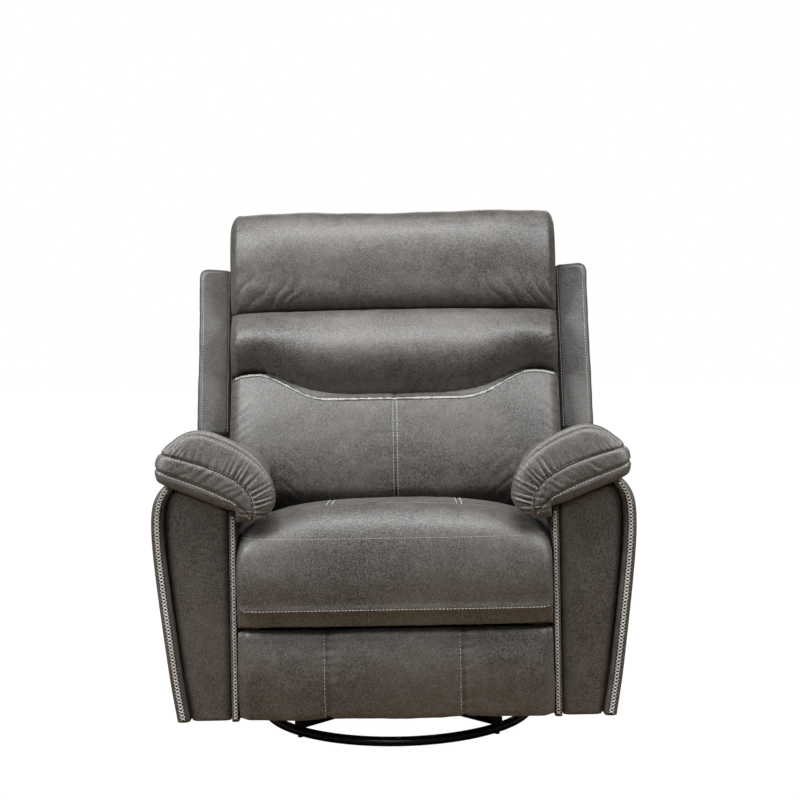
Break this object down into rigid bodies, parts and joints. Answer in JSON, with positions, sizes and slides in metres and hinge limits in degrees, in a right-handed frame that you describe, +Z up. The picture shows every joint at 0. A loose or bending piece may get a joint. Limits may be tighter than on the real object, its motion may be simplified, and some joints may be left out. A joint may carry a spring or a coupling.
{
  "type": "swivel recliner chair",
  "caption": "Upholstered swivel recliner on a black ring base: pillow arms, stacked back cushions, reclining back on swing links and a fold-out footrest",
  "frame": {"origin": "on the floor under the swivel axis, at the middle of the chair seen from above", "axes": "+Z up, the chair faces -Y, +X is on the right of someone facing it"},
  "size_m": [0.9168, 0.9334, 1.0702],
  "materials": {
    "ring_paint": "gloss black powder coat",
    "nylon": "black nylon",
    "deck_paint": "satin black paint",
    "fastener_steel": "zinc plated",
    "mechanism_steel": "black oxide plate with rubbed edges",
    "spring_wire": "drawn wire",
    "frame_wood": "raw plywood and pine",
    "release_plastic": "moulded black",
    "upholstery": "soft taupe faux suede with pale grey topstitching"
  },
  "bodies": {
    "base": {"base_ring": "ring_paint", "base_cross_bars": "ring_paint", "floor_glides": "nylon", "bearing_lower_plate": "deck_paint", "bearing_ring": "nylon", "swivel_pin": "fastener_steel", "swivel_nut": "fastener_steel", "base_bolts": "fastener_steel"},
    "chair": {"bearing_upper_plate": "deck_paint", "deck_channels": "deck_paint", "deck_cross_tubes": "deck_paint", "deck_bolts": "fastener_steel", "mechanism_rail_left": "mechanism_steel", "mechanism_rail_right": "mechanism_steel", "rail_pivot_pins": "fastener_steel", "rear_rail": "upholstery", "release_bezel": "release_plastic", "arm_frame_left": "frame_wood", "arm_frame_right": "frame_wood", "arm_outer_panel_left": "upholstery", "arm_outer_panel_right": "upholstery", "arm_inner_panel_left": "upholstery", "arm_inner_panel_right": "upholstery", "arm_front_panel_left": "upholstery", "arm_front_panel_right": "upholstery", "arm_rear_panel_left": "upholstery", "arm_rear_panel_right": "upholstery", "arm_pillow_left": "upholstery", "arm_pillow_right": "upholstery"},
    "front_swing_links": {"front_swing_links": "mechanism_steel"},
    "rear_swing_links": {"rear_swing_links": "mechanism_steel"},
    "seat": {"seat_plate_left": "mechanism_steel", "seat_plate_right": "mechanism_steel", "seat_pivot_pins": "fastener_steel", "seat_frame": "frame_wood", "seat_springs": "spring_wire", "seat_cushion": "upholstery"},
    "back": {"back_bracket_left": "mechanism_steel", "back_bracket_right": "mechanism_steel", "back_frame": "frame_wood", "back_springs": "spring_wire", "back_panel": "upholstery", "wing_left": "upholstery", "wing_right": "upholstery", "headrest_cushion": "upholstery", "shoulder_cushion": "upholstery", "lumbar_cushion": "upholstery"},
    "front_ottoman_links": {"front_ottoman_links": "mechanism_steel", "torque_tube": "deck_paint"},
    "rear_ottoman_links": {"rear_ottoman_links": "mechanism_steel"},
    "upper_ottoman_links": {"upper_ottoman_links": "mechanism_steel"},
    "lower_ottoman_links": {"lower_ottoman_links": "mechanism_steel"},
    "footrest": {"footrest_brackets": "mechanism_steel", "footrest_board": "frame_wood", "footrest_pad": "upholstery"},
    "release_handle": {"release_handle": "release_plastic"}
  },
  "joints": [
    {"name": "swivel", "type": "hinge", "parent": "base", "child": "chair", "pos_m": [0, 0, 0.035], "axis": [0, 0, 1], "continuous": true},
    {"name": "rear_swing", "type": "hinge", "parent": "chair", "child": "rear_swing_links", "pos_m": [0, 0.115, 0.13], "axis": [1, 0, 0], "range_deg": [0, 36]},
    {"name": "seat_level", "type": "hinge", "parent": "rear_swing_links", "child": "seat", "pos_m": [0, 0.14281, 0.2156], "axis": [-1, 0, 0], "range_deg": [0, 36]},
    {"name": "front_swing", "type": "hinge", "parent": "chair", "child": "front_swing_links", "pos_m": [0, -0.175, 0.13], "axis": [1, 0, 0], "range_deg": [0, 36]},
    {"name": "back_recline", "type": "hinge", "parent": "seat", "child": "back", "pos_m": [0, 0.205, 0.265], "axis": [-1, 0, 0], "range_deg": [0, 36]},
    {"name": "footrest_open", "type": "hinge", "parent": "seat", "child": "front_ottoman_links", "pos_m": [0, -0.36, 0.243], "axis": [-1, 0, 0], "range_deg": [0, 106]},
    {"name": "rear_link_turn", "type": "hinge", "parent": "seat", "child": "rear_ottoman_links", "pos_m": [0, -0.298, 0.243], "axis": [-1, 0, 0], "range_deg": [0, 106]},
    {"name": "upper_link_turn", "type": "hinge", "parent": "front_ottoman_links", "child": "upper_ottoman_links", "pos_m": [0, -0.23359, 0.08801], "axis": [1, 0, 0], "range_deg": [0, 106]},
    {"name": "lower_link_turn", "type": "hinge", "parent": "front_ottoman_links", "child": "lower_ottoman_links", "pos_m": [0, -0.2609, 0.1299], "axis": [1, 0, 0], "range_deg": [0, 106]},
    {"name": "footrest_turn", "type": "hinge", "parent": "upper_ottoman_links", "child": "footrest", "pos_m": [0, -0.368, 0.2], "axis": [-1, 0, 0], "range_deg": [0, 106]},
    {"name": "release_pull", "type": "hinge", "parent": "chair", "child": "release_handle", "pos_m": [-0.454, -0.194, 0.45], "axis": [0, 0, 1], "range_deg": [0, 35], "stiffness_Nm_per_rad": 0.08}
  ],
  "couplings": [
    {"joint": "rear_swing", "follows": "back_recline", "ratio": 1},
    {"joint": "seat_level", "follows": "back_recline", "ratio": 1},
    {"joint": "front_swing", "follows": "back_recline", "ratio": 1},
    {"joint": "rear_link_turn", "follows": "footrest_open", "ratio": 1},
    {"joint": "upper_link_turn", "follows": "footrest_open", "ratio": 1},
    {"joint": "lower_link_turn", "follows": "footrest_open", "ratio": 1},
    {"joint": "footrest_turn", "follows": "footrest_open", "ratio": 1}
  ]
}
